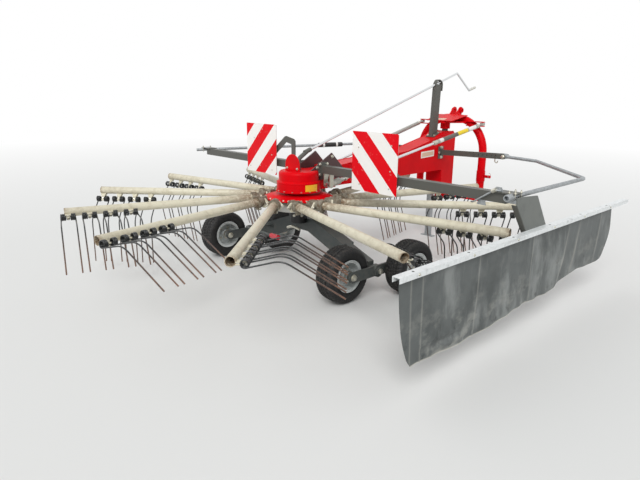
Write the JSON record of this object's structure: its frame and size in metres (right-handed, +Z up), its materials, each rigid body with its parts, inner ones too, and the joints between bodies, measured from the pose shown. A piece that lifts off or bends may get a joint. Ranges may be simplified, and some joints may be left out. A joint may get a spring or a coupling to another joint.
{
  "type": "rotary rake",
  "caption": "Three-point mounted single-rotor hay rake: tined arms under guard frames, a swath curtain, a sprung tandem chassis, striped warning boards and a swivelling headstock.",
  "frame": {"origin": "on the ground under the middle of the bounding box", "axes": "+Y ahead, towards the headstock; +X to the machine's right, towards the curtain; +Z up"},
  "size_m": [3.5328, 4.2167, 1.661],
  "materials": {
    "red": "glossy red paint",
    "anthracite": "dark grey paint",
    "ivory": "ivory paint, rusty at the hub end",
    "chassis": "dark green-grey paint",
    "cast": "weathered casting, partly rusty",
    "galvanised": "galvanised, dull",
    "spring": "black spring steel, rusty towards the tips",
    "bright": "ground steel",
    "rim": "silver paint",
    "tyre": "worn black rubber",
    "tarpaulin": "coated cloth, dusty",
    "board": "red and white diagonal stripes",
    "yellow": "yellow plastic"
  },
  "bodies": {
    "frame": {"rotor_post": "chassis", "gear_housing": "red", "housing_shield": "red", "boom": "red", "side_plates": "anthracite", "shaft_guard": "yellow", "axle_beam": "chassis", "swivel_pins": "anthracite", "crank_post": "anthracite", "crank": "galvanised", "crank_joint": "anthracite", "root_beams": "anthracite", "front_bars": "anthracite", "warning_boards": "board", "board_brackets": "anthracite", "stand_socket": "anthracite", "damper_ears": "anthracite", "lever": "chassis"},
    "rotor": {"tine_arms": "ivory", "spring_tines": "spring", "rotor_drum": "cast", "rotor_dish": "red", "arm_carriers": "cast"},
    "input": {"input_shaft": "bright"},
    "rocker_left": {"rocker_left": "chassis"},
    "rocker_right": {"rocker_right": "chassis"},
    "headstock": {"headstock": "red"},
    "guard_left": {"guard_beam_left": "anthracite", "guard_tube_left": "galvanised"},
    "guard_right": {"guard_beam_right": "anthracite", "guard_tube_right": "galvanised"},
    "curtain": {"curtain_arm": "galvanised", "curtain_bracket": "anthracite", "curtain_rail": "galvanised", "curtain_sheet": "tarpaulin"},
    "stand": {"stand_leg": "galvanised"},
    "wheel_left_rear": {"tyre_left_rear": "tyre", "rim_left_rear": "rim"},
    "wheel_left_front": {"tyre_left_front": "tyre", "rim_left_front": "rim"},
    "wheel_right_rear": {"tyre_right_rear": "tyre", "rim_right_rear": "rim"},
    "wheel_right_front": {"tyre_right_front": "tyre", "rim_right_front": "rim"},
    "damper_barrel_left": {"damper_barrel_left": "bright"},
    "damper_rod_left": {"damper_rod_left": "bright"},
    "damper_barrel_right": {"damper_barrel_right": "bright"},
    "damper_rod_right": {"damper_rod_right": "bright"}
  },
  "joints": [
    {"name": "rotor_spin", "type": "hinge", "parent": "frame", "child": "rotor", "pos_m": [-0.04857, -0.34363, 0.64], "axis": [0, 0, -1], "continuous": true},
    {"name": "input_spin", "type": "hinge", "parent": "frame", "child": "input", "pos_m": [-0.04857, 1.65637, 0.748], "axis": [0, 1, 0], "continuous": true},
    {"name": "headstock_swivel", "type": "hinge", "parent": "frame", "child": "headstock", "pos_m": [-0.04857, 1.60637, 0.8], "axis": [0, 0, 1], "range_deg": [-15, 15]},
    {"name": "guard_left_fold", "type": "hinge", "parent": "frame", "child": "guard_left", "pos_m": [-0.84857, -0.17863, 0.915], "axis": [0, 1, 0], "range_deg": [0, 90]},
    {"name": "guard_right_fold", "type": "hinge", "parent": "frame", "child": "guard_right", "pos_m": [0.75143, -0.17863, 0.915], "axis": [0, -1, 0], "range_deg": [0, 90]},
    {"name": "curtain_slide", "type": "slide", "parent": "guard_right", "child": "curtain", "axis": [1, 0, 0], "range_m": [0, 0.3]},
    {"name": "stand_slide", "type": "slide", "parent": "frame", "child": "stand", "axis": [0, 0, 1], "range_m": [0, 0.33]},
    {"name": "rocker_left_pivot", "type": "hinge", "parent": "frame", "child": "rocker_left", "pos_m": [-0.81857, -0.25363, 0.205], "axis": [1, 0, 0], "range_deg": [-12, 12]},
    {"name": "wheel_left_rear_spin", "type": "hinge", "parent": "rocker_left", "child": "wheel_left_rear", "pos_m": [-0.92157, -0.50363, 0.205], "axis": [1, 0, 0], "continuous": true},
    {"name": "wheel_left_front_spin", "type": "hinge", "parent": "rocker_left", "child": "wheel_left_front", "pos_m": [-0.71557, -0.00363, 0.205], "axis": [1, 0, 0], "continuous": true},
    {"name": "rocker_right_pivot", "type": "hinge", "parent": "frame", "child": "rocker_right", "pos_m": [0.72143, -0.25363, 0.205], "axis": [1, 0, 0], "range_deg": [-12, 12]},
    {"name": "wheel_right_rear_spin", "type": "hinge", "parent": "rocker_right", "child": "wheel_right_rear", "pos_m": [0.61843, -0.50363, 0.205], "axis": [1, 0, 0], "continuous": true},
    {"name": "wheel_right_front_spin", "type": "hinge", "parent": "rocker_right", "child": "wheel_right_front", "pos_m": [0.82443, -0.00363, 0.205], "axis": [1, 0, 0], "continuous": true},
    {"name": "damper_left_swing", "type": "hinge", "parent": "headstock", "child": "damper_barrel_left", "pos_m": [-0.40857, 1.70637, 1.168], "axis": [-0.0414, 0, 0.9991], "range_deg": [-15, 15]},
    {"name": "damper_left_stroke", "type": "slide", "parent": "damper_barrel_left", "child": "damper_rod_left", "axis": [0.0891, -0.973, -0.213], "range_m": [-0.1, 0.1]},
    {"name": "damper_right_swing", "type": "hinge", "parent": "headstock", "child": "damper_barrel_right", "pos_m": [0.31143, 1.70637, 1.168], "axis": [0.0414, 0, 0.9991], "range_deg": [-15, 15]},
    {"name": "damper_right_stroke", "type": "slide", "parent": "damper_barrel_right", "child": "damper_rod_right", "axis": [-0.0891, -0.973, -0.213], "range_m": [-0.1, 0.1]}
  ],
  "couplings": [
    {"joint": "input_spin", "follows": "rotor_spin", "ratio": 10},
    {"joint": "damper_left_swing", "follows": "headstock_swivel", "ratio": -0.93199},
    {"joint": "damper_left_stroke", "follows": "headstock_swivel", "m_per_rad": -0.33932},
    {"joint": "damper_right_swing", "follows": "headstock_swivel", "ratio": -0.93199},
    {"joint": "damper_right_stroke", "follows": "headstock_swivel", "m_per_rad": 0.33932}
  ]
}
